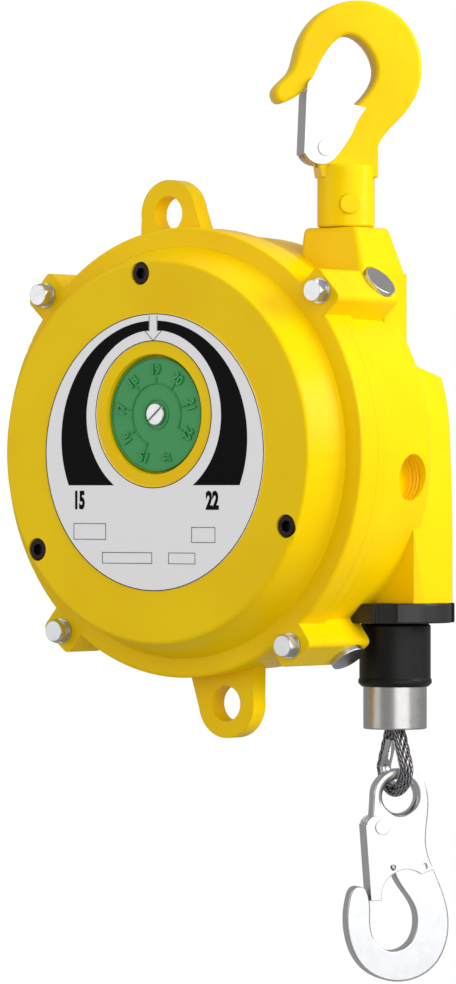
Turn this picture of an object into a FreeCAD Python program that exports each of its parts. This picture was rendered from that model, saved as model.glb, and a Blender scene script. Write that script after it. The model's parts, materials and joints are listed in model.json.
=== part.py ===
import FreeCAD, Part
import math
import os

# Spring balancer for a hand tool of 15 to 22 kg. Lengths are in millimetres, angles in degrees.
# The casing is drawn about the drum axis: X to the right, Y to the back and Z up, with the flat
# front of the cover at Y 0. At the end every piece is moved so that the origin is the point of
# the upper hook that hangs on its support.

# Clearances
runGap = 0.3          # between bodies that move past each other
shaftGap = 0.05       # radial, a shaft in its bush

# Front cover
faceRadius = 91.4
faceRound = 2.0
coneFootRadius = 98.1
flangeFront = 20.0
partingY = 33.0
flangeRadius = 107.4
flangeRound = 1.5
coverWall = 4.0
spigotWall = 3.6
spigotLength = 3.0
plateRadius = 65.8
plateThick = 0.5
plateHoleRadius = 34.6

# Load dial
dialZ = 18.0
dialRadius = 27.25
dialFront = 2.2
dialThick = 1.8
pocketRadius = 28.6
pocketSlope = 0.8
pocketFloor = 2.0
gearModule = 1.0
gearWidth = 2.9
pinionTeeth = 14
dialShaftRadius = 5.5
dialScrewHead = 5.25
dialScrewRadius = 2.5

# Ears, lugs and cover screws
earAngles = (42.0, 137.0, 230.0, 306.0)
earBoltRadius = 112.4
earBeyondBolt = 6.5
earHalfWidth = 10.0
earCorner = 3.0
earDepth = 10.0
boltRadius = 3.0
boltHeadHeight = 4.0
boltHeadAcross = 10.0
washerRadius = 6.0
washerThick = 1.4
springWasherRadius = 5.4
springWasherThick = 1.5
lugTilt = 8.5
lugThick = 9.6
lugHole = 8.5
lugTopRadius = 116.0
lugBottomRadius = 121.0
lugEnd = 16.4
lugFoot = 20.0
screwAngles = (95.6, 213.0, 336.0)
screwCircle = 85.4
screwRadius = 3.0
screwHeadRadius = 5.0
screwHeadHeight = 5.5
counterboreRadius = 5.5
pillarRadius = 6.0

# Main housing
wallRadius = 104.5
wallRound = 5.0
wallBackY = 83.0
wallThick = 6.0
humpRadius = 88.0
humpRound = 6.0
humpBackY = 103.0
humpWall = 4.5
rearWall = 4.0
flangeDepth = 8.0
rearBossRadius = 20.0
rearBossHeight = 4.0
sideHoleRadius = 12.0
sideHoleDepth = 10.0
sideHoleFloor = 2.0
sideHoleY = 65.0
sideHoleZ = -12.0
threadPitch = 2.0
threadDepth = 1.0

# Suspension: neck, swivel stem and upper hook
hookX = 62.0
hookY = 69.5
neckTop = 107.0
neckWidth = 32.0
neckDepth = 27.4
neckRound = 3.0
shoulderX = 85.0
shoulderBackY = 87.0
shoulderDepth = 35.0
shoulderTop = 85.0
shoulderFoot = 47.0
stemRadius = 7.0
bushWall = 3.5
chamberTop = 90.0
chamberRadius = 13.4
thrustThick = 3.0
nutAcross = 20.0
nutHeight = 7.7
socketRadius = 13.7
socketTop = 137.0
hookThick = 16.0
hookAzimuth = 47.5
hookEdgeRound = 2.0
saddleZ = 198.6
pinZ = 118.0
pinAzimuth = 44.0
pinRadius = 2.5
pinHeadRadius = 4.75
pinHeadHeight = 2.0
latchPivot = (-11.5, 144.8)
latchPlate = 1.5
latchRivetRadius = 3.0
latchRivetHead = 4.0
latchSlot = 6.0

# Rope, drum and guide
ropeX = 76.0
ropeY = 90.0
ropeRadius = 3.0
grooveCount = 5
groovePitch = 7.0
grooveStep = 2.5      # growth of the pitch radius from one groove to the next
grooveGap = 0.3
ridgeBelowPitch = 0.6
rimThick = 6.5
drumFront = 51.6
drumFlange = 1.8
frontFlangeRadius = 91.0
rearFlangeRadius = 80.5
rearFlangeStart = 94.0
webFront = 66.0
webThick = 4.0
hubRadius = 21.0
hubBack = 94.0
columnRadius = 27.5
columnFrontY = 74.0
columnFoot = -71.7
columnBore = 8.0
guideRadius = 28.5
guideThick = 9.5
guideNotch = 11.0
guideTubeWall = 3.0
guideTubeLength = 22.0
guideScrewAngles = (35.0, 145.0)
guideScrewCircle = 22.0
guideScrewRadius = 2.5
guideScrewHead = 4.25
guideScrewSink = 3.5

# Axle and bearings
axleRadius = 7.5
axleNose = 4.0
axleNoseEnd = 9.9
axleThreadRadius = 7.0
axleNutAcross = 22.0
axleNutHeight = 6.5
bearingOuter = 16.0
bearingWidth = 9.0
bearingStarts = (55.5, 83.0)
ballRadius = 2.4
ballCount = 9
raceWall = 2.4
ballGap = 0.08

# Mainspring with its holder, partition plate and arbor
holderFront = 21.6
holderWeb = 2.5
holderRadius = 79.0
holderRim = 2.6
holderBack = 45.6
holderHub = 12.0
springThick = 1.4
springWidth = 20.4
springTurns = 14
arborRadius = 15.0
arborBore = 8.3
arborFront = 24.9
arborSeat = 1.0
partitionFront = 46.0
partitionThick = 4.0
partitionRadius = 92.0
partitionBore = 22.0

# Worm drive that winds the holder
wormModule = 1.5
wheelTeeth = 38
wheelWidth = 7.6
wormY = 13.5
wormPitchRadius = 6.0
wormRootRadius = 4.4
wormTipRadius = 7.2
wormHalfLength = 16.0
wormShaftRadius = 3.9
wormEnd = -86.0
wormKey = 5.0
bushRadius = 5.8
bushBlockStart = 18.0
bushBlockLength = 8.0
bushBlockHalf = 8.5

# Overspeed stop
ratchetTeeth = 24
ratchetTip = 48.0
ratchetRoot = 43.5
ratchetBore = 31.0
ratchetWidth = 6.0
ratchetScrewCircle = 36.0
ratchetScrewRadius = 2.0
pawlCircle = 57.0
pawlAngle = 128.0
pawlBossRadius = 6.5
pawlWidth = 6.0
pawlPinRadius = 3.0
pawlReach = 20.0
pawlNose = 1.4
pawlGap = 0.5
pawlThrow = 8.0       # degrees from rest to fully thrown in
coilRadius = 3.7      # return springs of the pawl and of the hook latch
coilWire = 0.4
coilPitch = 0.7
coilTurns = 4

# Plugs in the two right-hand bosses
plugRadius = 8.5
plugHead = 2.5
plugShank = 6.0
plugLength = 9.0
plugY = 59.0
bossBackY = 69.0
bossFoot = 66.0
bossRound = 1.5

# Load end: buffer, sleeve, rope eye and snap hook
bufferRadius = 17.6
bufferLength = 30.2
bufferBore = 4.0
bufferLip = 1.6
sleeveRadius = 15.2
sleeveLength = 20.3
sleeveWall = 2.0
ferruleLength = 17.0
eyeAzimuth = -25.0
thimbleInner = 7.9
thimbleThick = 0.8
thimbleWidth = 4.4
eyeRopeRadius = 3.1
eyeCentreZ = -149.8
snapAzimuth = 52.0
snapThick = 9.0
snapEdgeRound = 0.8
snapHoleRadius = 8.2
snapHoleRound = 3.0
gateThick = 1.2
gateRivet = (-7.9, -178.7)
gateRivetRadius = 2.2
gateRivetHead = 3.6


# ---- shared helpers ----

def vec(x, y, z):
    return FreeCAD.Vector(x, y, z)


def polar(radius, angle):
    return radius * math.cos(math.radians(angle)), radius * math.sin(math.radians(angle))


def rodY(radius, y0, y1, x=0.0, z=0.0):
    return Part.makeCylinder(radius, y1 - y0, vec(x, y0, z), vec(0, 1, 0))


def rodZ(radius, z0, z1, x=0.0, y=0.0):
    return Part.makeCylinder(radius, z1 - z0, vec(x, y, z0), vec(0, 0, 1))


def rodX(radius, x0, x1, y, z):
    return Part.makeCylinder(radius, x1 - x0, vec(x0, y, z), vec(1, 0, 0))


def block(x0, x1, y0, y1, z0, z1):
    return Part.makeBox(x1 - x0, y1 - y0, z1 - z0, vec(x0, y0, z0))


def hexY(across, y0, y1, x=0.0, z=0.0, turn=0.0):
    corners = [polar(across / math.sqrt(3), turn + 60 * k) for k in range(6)]
    return prismY(corners, y0, y1).translated(vec(x, 0, z))


def prismY(corners, y0, y1):
    points = [vec(x, y0, z) for x, z in corners]
    return Part.Face(Part.makePolygon(points + points[:1])).extrude(vec(0, y1 - y0, 0))


def outline(start, steps, place):
    # A step is an end point for a line, a middle and an end point for an arc, or a list of points
    # for a smooth curve.
    edges, here = [], start
    for step in list(steps) + [start]:
        if isinstance(step, list):
            curve = Part.BSplineCurve()
            curve.interpolate([place(*point) for point in [here] + step])
            edges.append(curve.toShape())
            end = step[-1]
        elif isinstance(step[0], tuple):
            middle, end = step
            edges.append(Part.Arc(place(*here), place(*middle), place(*end)).toShape())
        elif math.dist(here, step) > 1e-6:
            end = step
            edges.append(Part.LineSegment(place(*here), place(*end)).toShape())
        here = end
    return Part.Face(Part.Wire(edges))


def plateXZ(start, steps, y0, y1):
    return outline(start, steps, lambda x, z: vec(x, y0, z)).extrude(vec(0, y1 - y0, 0))


def turned(start, steps):
    # A (radius, y) outline turned about the drum axis.
    return outline(start, steps, lambda r, y: vec(r, y, 0)).revolve(vec(0, 0, 0), vec(0, 1, 0), 360)


def turnedZ(start, steps, x, y):
    # A (radius, z) outline turned about a vertical axis through x, y.
    face = outline(start, steps, lambda r, z: vec(r, 0, z))
    return face.revolve(vec(0, 0, 0), vec(0, 0, 1), 360).translated(vec(x, y, 0))


def ringY(outer, inner, y0, y1, x=0.0, z=0.0):
    return rodY(outer, y0, y1, x, z).cut(rodY(inner, y0, y1, x, z))


def joined(shapes):
    return shapes[0].fuse(shapes[1:]).removeSplitter()


def rounded(shape, radius, chosen):
    edges = [edge for edge in shape.Edges if chosen(edge)]
    return shape.makeFillet(radius, edges)


def upright(edge):
    ends = [vertex.Point for vertex in edge.Vertexes]
    return len(ends) == 2 and abs(ends[0].x - ends[1].x) + abs(ends[0].y - ends[1].y) < 1e-4


def aimed(shape, azimuth, x, y):
    # From the X-Z plane of a hook to its place on a vertical axis, turned to face the azimuth.
    return shape.rotated(vec(0, 0, 0), vec(0, 0, 1), azimuth).translated(vec(x, y, 0))


def gearOutline(teeth, pitch, tip, root, start, share=0.36, tipShare=0.2, rootShare=0.54):
    step = 360.0 / teeth
    corners = []
    for k in range(teeth):
        middle = start + k * step
        for radius, offset in ((root, -rootShare), (tip, -tipShare), (tip, tipShare), (root, rootShare)):
            half = offset * step / 2 * pitch / radius if radius == tip else offset * step / 2
            corners.append(polar(radius, middle + half))
    return corners


def coil(start):
    # A close-wound return spring about a pin that points to the back, its turns drawn as rings.
    rings = [Part.makeTorus(coilRadius, coilWire, start + vec(0, k * coilPitch, 0), vec(0, 1, 0))
             for k in range(coilTurns)]
    return joined(rings)


# ---- values that follow from the sizes above ----

coverBore = coneFootRadius - coverWall
spigotRadius = coverBore + spigotWall
floorFront = dialFront + dialThick + 0.2
floorBack = floorFront + pocketFloor
pinionFront = floorBack + runGap
pinionBack = pinionFront + gearWidth
gearTeeth = round(2 * dialZ / gearModule) - pinionTeeth
cavityRadius = wallRadius - wallThick
humpCavity = humpRadius - humpWall
cavityBackY = wallBackY - 3.5
rearInner = humpBackY - rearWall
rearBossY = humpBackY + rearBossHeight
nutSeatY = humpBackY - 1.5
shoulderLeft = hookX - neckWidth / 2
shoulderFrontY = shoulderBackY - shoulderDepth
neckRight = hookX + neckWidth / 2
nutTop = chamberTop - thrustThick - 2 * runGap
nutFoot = nutTop - nutHeight
bushOuter = stemRadius + shaftGap + bushWall
guideFoot = columnFoot - guideThick
bufferTop = guideFoot - runGap
bufferFoot = bufferTop - bufferLength
sleeveFoot = bufferFoot - sleeveLength
ferruleTop = bufferFoot - sleeveWall
holderHubFront = pinionBack
springOuter = holderRadius - holderRim
springInner = arborRadius + 1.2
springFront = holderFront + holderWeb + 0.4
wheelPitchRadius = wormModule * wheelTeeth / 2
wormZ = -(wheelPitchRadius + wormPitchRadius)
wormPitch = math.pi * wormModule
ratchetFront = webFront + webThick
pawlX, pawlZ = polar(pawlCircle, pawlAngle)


def groovePlace(k):
    return ropeX + k * grooveStep, ropeY - k * groovePitch


def coneRadius(y):
    return ropeX + (ropeY - y) * grooveStep / groovePitch - ridgeBelowPitch


# ---- casing ----

def ear(angle, y0, y1):
    # A square tab with rounded outer corners; the bolt stands in its middle.
    far = earBoltRadius + earBeyondBolt
    near, half, soft = cavityRadius, earHalfWidth, earCorner
    bend = soft * (1 - math.sqrt(0.5))
    tab = plateXZ((near, -half), [
        (far - soft, -half), ((far - bend, -half + bend), (far, -half + soft)),
        (far, half - soft), ((far - bend, half - bend), (far - soft, half)), (near, half)], y0, y1)
    return tab.rotated(vec(0, 0, 0), vec(0, -1, 0), angle)


def boltHoles(radius, y0, y1):
    return [rodY(radius, y0, y1, *polar(earBoltRadius, angle)) for angle in earAngles]


def frontCover():
    bend = 1 - math.sqrt(0.5)
    body = turned((0, 0), [
        (faceRadius - faceRound, 0),
        ((faceRadius - faceRound * bend, faceRound * bend), (faceRadius, faceRound)),
        (coneFootRadius, flangeFront), (flangeRadius - flangeRound, flangeFront),
        ((flangeRadius - flangeRound * bend, flangeFront + flangeRound * bend),
         (flangeRadius, flangeFront + flangeRound)),
        (flangeRadius, partingY), (spigotRadius, partingY), (spigotRadius, partingY + spigotLength),
        (coverBore, partingY + spigotLength), (coverBore, flangeFront),
        (faceRadius - coverWall, coverWall), (0, coverWall)])
    solids = [body, rodY(pocketRadius + 3, coverWall - 1, floorBack, 0, dialZ)]
    for angle in earAngles:
        tab = ear(angle, flangeFront, partingY)
        solids.append(tab.cut(rodY(coverBore + 1, flangeFront - 1, partingY + 1)))
    for angle in screwAngles:
        solids.append(rodY(pillarRadius, coverWall - 1, partitionFront, *polar(screwCircle, angle)))
    for side in (-1, 1):
        near, far = sorted((side * bushBlockStart, side * (bushBlockStart + bushBlockLength)))
        solids.append(block(near, far, coverWall - 1, holderFront - 0.8,
                            wormZ - bushBlockHalf, wormZ + bushBlockHalf))
    cover = joined(solids)
    pocket = Part.makeCone(pocketRadius, pocketRadius - pocketSlope, floorFront, vec(0, 0, dialZ),
                           vec(0, 1, 0))
    cuts = [pocket, rodY(dialShaftRadius + shaftGap, 0, floorBack + 1, 0, dialZ),
            rodY(axleNose, floorBack - 1, floorBack + 1)]
    for angle in screwAngles:
        place = polar(screwCircle, angle)
        cuts.append(rodY(counterboreRadius, -1, screwHeadHeight + 0.7, *place))
        cuts.append(rodY(screwRadius, 0, partitionFront + 1, *place))
    blockReach = bushBlockStart + bushBlockLength
    cuts.append(rodX(bushRadius, -blockReach - 1, blockReach + 1, wormY, wormZ))
    cuts.append(rodX(wormShaftRadius + 2 * runGap, -flangeRadius, -blockReach, wormY, wormZ))
    cuts += lugHoles(flangeFront - 1, partingY + 1)
    return cover.cut(cuts + boltHoles(boltRadius, flangeFront - 1, partingY + 1))


def lugHoles(y0, y1):
    return [rodY(lugHole, y0, y1, *polar(lugTopRadius, 90 + lugTilt)),
            rodY(lugHole, y0, y1, *polar(lugBottomRadius, 270 + lugTilt))]


def lug(angle, reach):
    # A flat eye that leaves the rim at the parting plane.
    eye = plateXZ((cavityRadius, -lugFoot), [
        (reach, -lugEnd), ((reach + lugEnd, 0), (reach, lugEnd)), (cavityRadius, lugFoot)],
        partingY, partingY + lugThick)
    return eye.rotated(vec(0, 0, 0), vec(0, -1, 0), angle)


def neck():
    # Upright block under the swivel, flaring to the shoulder above the rope outlet.
    def frame(x0, x1, y0, y1, z):
        points = [vec(x0, y0, z), vec(x1, y0, z), vec(x1, y1, z), vec(x0, y1, z)]
        return Part.makePolygon(points + points[:1])
    half = neckDepth / 2
    top = frame(shoulderLeft, neckRight, hookY - half, hookY + half, neckTop)
    foot = frame(shoulderLeft, shoulderX, shoulderFrontY, shoulderBackY, shoulderTop)
    flare = rounded(Part.makeLoft([top, foot], True, True), neckRound,
                    lambda edge: edge.BoundBox.ZMax > neckTop - 0.1)
    rib = block(shoulderLeft, shoulderX, shoulderFrontY, shoulderBackY, shoulderFoot, shoulderTop)
    lower = block(shoulderLeft, shoulderX, shoulderFrontY, bossBackY, shoulderFoot, bossFoot)
    return joined([flare, rib.cut(lower)])


def boss(angle):
    # The ear's section run backward to carry a plug, with a soft back end.
    return rounded(ear(angle, partingY, bossBackY), bossRound,
                   lambda edge: edge.BoundBox.YMin > bossBackY - 0.1)


def column():
    # Upright rope outlet behind the drum wall; its crest follows the round of the casing.
    body = rodZ(columnRadius, columnFoot, shoulderFoot + 6, ropeX, ropeY)
    crest = plateXZ((30, columnFoot - 1), [
        (101.5, columnFoot - 1), (98.5, -40.0), (93.5, 0.0),
        ((89.5, 24.0), (78.0, 47.0)), (30, 60.0)], columnFrontY, ropeY + columnRadius + 1)
    sloped = Part.Face(Part.makePolygon([
        vec(0, 60, columnFoot - 2), vec(0, wallBackY + 34, columnFoot - 2),
        vec(0, wallBackY + 34, shoulderFoot - 11), vec(0, wallBackY, shoulderFoot),
        vec(0, 60, shoulderFoot), vec(0, 60, columnFoot - 2)])).extrude(vec(140, 0, 0))
    return body.common(crest).common(sloped)


def threadedHole(depth, axisX):
    # Thread as ring grooves along the bore, from the outer face inwards.
    x0 = axisX - depth
    bore = rodX(sideHoleRadius - threadDepth, x0, axisX + 6, sideHoleY, sideHoleZ)
    steps, x = [], x0 + 1
    while x + threadPitch < axisX - 1.5:
        steps += [(x, sideHoleRadius - threadDepth), (x + threadPitch / 2, sideHoleRadius)]
        x += threadPitch
    steps.append((x, sideHoleRadius - threadDepth))
    teeth = outline((steps[0][0], 0), steps + [(x, 0)], lambda a, r: vec(a, 0, r))
    teeth = teeth.revolve(vec(0, 0, 0), vec(1, 0, 0), 360).translated(vec(0, sideHoleY, sideHoleZ))
    return [bore, teeth]


def mainHousing():
    bend = 1 - math.sqrt(0.5)
    body = turned((0, partingY), [
        (flangeRadius, partingY), (flangeRadius, partingY + flangeDepth - 1),
        (wallRadius + 1, partingY + flangeDepth), (wallRadius, wallBackY - wallRound),
        ((wallRadius - wallRound * bend, wallBackY - wallRound * bend),
         (wallRadius - wallRound, wallBackY)),
        (humpRadius + 2, wallBackY), (humpRadius, wallBackY + 2),
        (humpRadius, humpBackY - humpRound),
        ((humpRadius - humpRound * bend, humpBackY - humpRound * bend),
         (humpRadius - humpRound, humpBackY)),
        (rearBossRadius + 2, humpBackY), (rearBossRadius, rearBossY), (0, rearBossY)])
    solids = [body, neck(), boss(earAngles[0]), boss(earAngles[3]), column()]
    solids += [ear(angle, partingY, partingY + earDepth) for angle in earAngles]
    solids += [lug(90 + lugTilt, lugTopRadius), lug(270 + lugTilt, lugBottomRadius)]
    shell = joined(solids)
    cavity = turned((0, partingY - 1), [
        (spigotRadius, partingY - 1), (spigotRadius, partingY + spigotLength + 0.3),
        (cavityRadius - 1, partingY + spigotLength + 0.3), (cavityRadius - 1, cavityBackY),
        (humpCavity, cavityBackY + 1), (humpCavity, rearInner - 3), (humpCavity - 3, rearInner),
        (0, rearInner)])
    shell = shell.cut(cavity)
    axisX = math.sqrt(wallRadius ** 2 - sideHoleZ ** 2)
    pad = rodX(sideHoleRadius + 2.5, axisX - sideHoleDepth - sideHoleFloor, axisX - 2, sideHoleY, sideHoleZ)
    pad = pad.common(rodY(wallRadius, partingY, wallBackY))
    pinBoss = rodY(pawlBossRadius, ratchetFront + pawlWidth + 4, rearInner + 1, pawlX, pawlZ)
    axleBoss = rodY(holderHub, hubBack + 0.6, rearInner + 1)
    shell = joined([shell, pad, pinBoss, axleBoss])
    cuts = threadedHole(sideHoleDepth, axisX)
    cuts += [rodY(axleThreadRadius, hubBack, rearBossY + 1), rodY(14.5, nutSeatY, rearBossY + 1),
             rodY(pawlPinRadius, 0, rearInner - 1, pawlX, pawlZ),
             rodZ(bushOuter, chamberTop - 1, neckTop + 1, hookX, hookY),
             rodZ(chamberRadius, 60, chamberTop, hookX, hookY).cut(rodY(cavityRadius - 2, 40, 79)),
             rodZ(columnBore, columnFoot - 1, -10, ropeX, ropeY),
             rodZ(bufferRadius + 2 * runGap, bufferFoot - 9, guideFoot, ropeX, ropeY)]
    cuts += boltHoles(boltRadius, partingY - 1, partingY + earDepth - 1)
    cuts += lugHoles(partingY - 1, partingY + lugThick + 1)
    cuts += [guideScrew(angle)[1] for angle in guideScrewAngles]
    cuts += [plug(earAngles[k], True) for k in (0, 3)]
    return shell.cut(cuts)


def plug(angle, hole=False):
    # Headed round plug in the middle of a boss's outer face.
    x, z = polar(1.0, angle)
    out = vec(x, 0, z)
    face = earBoltRadius + earBeyondBolt
    seat = out * face + vec(0, plugY, 0)
    shank = Part.makeCylinder(plugShank, plugLength, seat - out * plugLength, out)
    if hole:
        return shank.fuse(Part.makeCylinder(plugRadius + 0.6, plugHead + 3, seat, out))
    head = Part.makeCylinder(plugRadius, plugHead, seat, out)
    return joined([rounded(head, 0.5, lambda edge: edge.Length > 20 and
                           out.dot(edge.CenterOfMass) > face + plugHead / 2), shank])


def namePlate():
    return rodY(plateRadius, -plateThick, 0).cut(rodY(plateHoleRadius, -1, 1, 0, dialZ))


def coverBolts():
    top = flangeFront - washerThick - springWasherThick
    bolts = []
    for k, angle in enumerate(earAngles):
        place = polar(earBoltRadius, angle)
        head = hexY(boltHeadAcross, top - boltHeadHeight, top, *place, turn=17 * k)
        dome = Part.makeCone(boltHeadAcross / 2 - 0.2, boltHeadAcross / 2 + 2.6, boltHeadHeight,
                             vec(place[0], top - boltHeadHeight, place[1]), vec(0, 1, 0))
        bolts.append(head.common(dome).fuse(rodY(boltRadius, top, partingY + earDepth - 1, *place)))
    return Part.makeCompound(bolts)


def washers(outer, y0, y1):
    rings = [ringY(outer, boltRadius, y0, y1, *polar(earBoltRadius, angle)) for angle in earAngles]
    return Part.makeCompound(rings)


def partitionScrews():
    screws = []
    for k, angle in enumerate(screwAngles):
        place = polar(screwCircle, angle)
        head = rodY(screwHeadRadius, 0.7, screwHeadHeight + 0.7, *place)
        head = rounded(head, 0.6, lambda edge: edge.BoundBox.YMax < 0.8)
        shank = rodY(screwRadius, screwHeadHeight + 0.7, partitionFront + partitionThick, *place)
        key = hexY(5.0, 0, 3.6, *place, turn=20 * k)
        screws.append(head.fuse(shank).cut(key))
    return Part.makeCompound(screws)


def partitionPlate():
    back = partitionFront + partitionThick
    plate = ringY(partitionRadius, partitionBore, partitionFront, back)
    return plate.cut([rodY(screwRadius, partitionFront - 1, back + 1, *polar(screwCircle, angle))
                      for angle in screwAngles])


def mainAxle():
    return turned((0, floorBack - 1), [
        (axleNose, floorBack - 1), (axleNose, axleNoseEnd), (axleRadius, axleNoseEnd),
        (axleRadius, hubBack), (axleThreadRadius, hubBack), (axleThreadRadius, rearBossY - 0.6),
        (axleThreadRadius - 1, rearBossY + 0.4), (0, rearBossY + 0.4)])


def axleNut():
    nut = hexY(axleNutAcross, nutSeatY, nutSeatY + axleNutHeight)
    return nut.cut(rodY(axleThreadRadius, nutSeatY - 1, rearBossY + 2))


# ---- load dial and its drive ----

def toothedDisc(teeth, start, y0, y1):
    pitch = gearModule * teeth / 2
    corners = gearOutline(teeth, pitch, pitch + 0.9 * gearModule, pitch - 1.2 * gearModule, start)
    return prismY(corners, y0, y1)


def dialGear():
    gear = toothedDisc(gearTeeth, 270 + 180.0 / gearTeeth, pinionFront, pinionBack)
    gear = gear.translated(vec(0, 0, dialZ))
    shaft = rodY(dialShaftRadius, dialFront + dialThick, pinionFront, 0, dialZ)
    return joined([gear, shaft]).cut(rodY(dialScrewRadius, 0, pinionBack - 0.8, 0, dialZ))


def loadDial():
    dial = rodY(dialRadius, dialFront, dialFront + dialThick, 0, dialZ)
    return dial.cut(rodY(dialScrewRadius, 0, floorFront, 0, dialZ))


def dialScrew():
    head = rodY(dialScrewHead, dialFront - 1.6, dialFront, 0, dialZ)
    head = rounded(head, 0.5, lambda edge: edge.BoundBox.YMax < dialFront - 1.5)
    slot = block(-6, 6, dialFront - 2, dialFront - 0.7, -0.6, 0.6)
    slot = slot.rotated(vec(0, 0, 0), vec(0, -1, 0), 40).translated(vec(0, 0, dialZ))
    return head.fuse(rodY(dialScrewRadius, dialFront, pinionBack - 0.8, 0, dialZ)).cut(slot)


def dialPinion():
    return toothedDisc(pinionTeeth, 90, pinionFront, pinionBack).cut(
        rodY(axleNose + shaftGap, pinionFront - 1, pinionBack + 1))


# ---- worm drive, spring and holder ----

def wormWheel():
    # The teeth lean by the lead angle of the worm.
    y0, y1 = wormY - wheelWidth / 2, wormY + wheelWidth / 2
    tip, root = wheelPitchRadius + 0.85 * wormModule, wheelPitchRadius - 1.15 * wormModule
    lean = math.degrees(wormPitch / (2 * math.pi * wormPitchRadius) * wheelWidth / wheelPitchRadius)
    wires = []
    for y, turn in ((y0, -lean / 2), (y1, lean / 2)):
        corners = gearOutline(wheelTeeth, wheelPitchRadius, tip, root, 270 + turn)
        points = [vec(x, y, z) for x, z in corners]
        wires.append(Part.makePolygon(points + points[:1]))
    wheel = Part.makeLoft(wires, True, True)
    return wheel.cut(rodY(holderHub, y0 - 1, y1 + 1))


def worm():
    # Right-handed thread on a long shaft that ends in a key socket at the left side.
    half = wormPitch / 2
    turns = 2 * wormHalfLength / wormPitch
    helix = Part.makeHelix(wormPitch, wormPitch * turns, wormPitchRadius)
    tooth = Part.makePolygon([
        vec(wormRootRadius - 0.5, 0, -0.62 * half), vec(wormTipRadius, 0, -0.2 * half),
        vec(wormTipRadius, 0, 0.2 * half), vec(wormRootRadius - 0.5, 0, 0.62 * half),
        vec(wormRootRadius - 0.5, 0, -0.62 * half)])
    thread = Part.Wire(helix.Edges).makePipeShell([tooth], True, True)
    core = Part.makeCylinder(wormRootRadius, 2 * wormHalfLength + 3.2, vec(0, 0, -1.6))
    screw = core.fuse(thread)
    # Turned so that a space of the thread faces the wheel at X 0.
    screw.Placement = FreeCAD.Placement(vec(-wormHalfLength, wormY, wormZ),
                                        FreeCAD.Rotation(vec(0, 1, 0), 90))
    screw = screw.rotated(vec(0, wormY, wormZ), vec(1, 0, 0), wormPhase)
    shaft = rodX(wormShaftRadius, wormEnd, bushBlockStart + bushBlockLength, wormY, wormZ)
    key = [polar(wormKey / math.sqrt(3), 60 * k) for k in range(6)]
    points = [vec(wormEnd - 1, wormY + a, wormZ + b) for a, b in key]
    socket = Part.Face(Part.makePolygon(points + points[:1])).extrude(vec(9, 0, 0))
    return screw.fuse(shaft).cut(socket)


def wormBushes():
    bushes = []
    for side in (-1, 1):
        near, far = sorted((side * (bushBlockStart), side * (bushBlockStart + bushBlockLength)))
        bush = rodX(bushRadius, near, far, wormY, wormZ)
        bushes.append(bush.cut(rodX(wormShaftRadius + shaftGap, near - 1, far + 1, wormY, wormZ)))
    return Part.makeCompound(bushes)


def springHolder():
    webBack = holderFront + holderWeb
    bore = axleRadius + shaftGap
    return turned((bore, holderHubFront), [
        (holderHub, holderHubFront), (holderHub, holderFront), (holderRadius, holderFront),
        (holderRadius, holderBack), (springOuter, holderBack), (springOuter, webBack),
        (bore, webBack)])


def mainspring():
    # Flat strip in an even spiral: the radius shrinks by the same amount in every turn.
    pitch = (springOuter - 0.2 - springInner - springThick) / springTurns
    stepsPerTurn = 12

    def edgeAt(offset):
        points = []
        for k in range(springTurns * stepsPerTurn + 1):
            angle = 360.0 * k / stepsPerTurn
            x, z = polar(springInner + offset + pitch * angle / 360, angle)
            points.append(vec(x, springFront, z))
        curve = Part.BSplineCurve()
        curve.interpolate(points)
        return curve.toShape()
    inner, outer = edgeAt(0), edgeAt(springThick)
    closing = [Part.makeLine(inner.Vertexes[k].Point, outer.Vertexes[k].Point) for k in (0, -1)]
    wire = Part.Wire(Part.__sortEdges__([inner, closing[0], outer, closing[1]]))
    return Part.Face(wire).extrude(vec(0, springWidth, 0))


# ---- drum ----

def drum():
    front, back = drumFront, rearFlangeStart + drumFlange
    webBack = webFront + webThick
    hubFront = front - 0.4
    first, second = bearingStarts
    inner = [(coneRadius(y) - rimThick, y) for y in (front, webFront, webBack, back)]
    body = turned((bearingOuter, first), [
        (bearingOuter - 3, first), (bearingOuter - 3, hubFront + arborSeat),
        (arborRadius, hubFront + arborSeat), (arborRadius, hubFront), (hubRadius, hubFront),
        (hubRadius, webFront), inner[1], inner[0], (frontFlangeRadius, front),
        (frontFlangeRadius, front + drumFlange), (coneRadius(front + drumFlange), front + drumFlange),
        (coneRadius(rearFlangeStart), rearFlangeStart), (rearFlangeRadius, rearFlangeStart),
        (rearFlangeRadius, back), inner[3], inner[2], (hubRadius, webBack),
        (hubRadius, second + bearingWidth), (bearingOuter, second + bearingWidth),
        (bearingOuter, second), (bearingOuter - 3, second),
        (bearingOuter - 3, first + bearingWidth), (bearingOuter, first + bearingWidth)])
    cuts = []
    for k in range(grooveCount):
        radius, y = groovePlace(k)
        cuts.append(Part.makeTorus(radius, ropeRadius + grooveGap, vec(0, y, 0), vec(0, 1, 0)))
    cuts.append(anchorShape())
    for k in range(4):
        place = polar(ratchetScrewCircle, 90 * k + 45)
        cuts.append(rodY(ratchetScrewRadius, webFront - 1, webBack + 1, *place))
    for k in range(6):
        cuts.append(rodY(9.0, webFront - 1, webBack + 1, *polar(61.0, 60 * k)))
    return body.cut(cuts)


def ropeRing(k, sweep, start):
    radius, y = groovePlace(k)
    if sweep == 360:
        return Part.makeTorus(radius, ropeRadius, vec(0, y, 0), vec(0, 1, 0))
    circle = Part.Face(Part.Wire([Part.makeCircle(ropeRadius, vec(radius, y, 0), vec(0, 0, 1))]))
    arc = circle.revolve(vec(0, 0, 0), vec(0, -1, 0), sweep)
    return arc.rotated(vec(0, 0, 0), vec(0, -1, 0), start)


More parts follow.
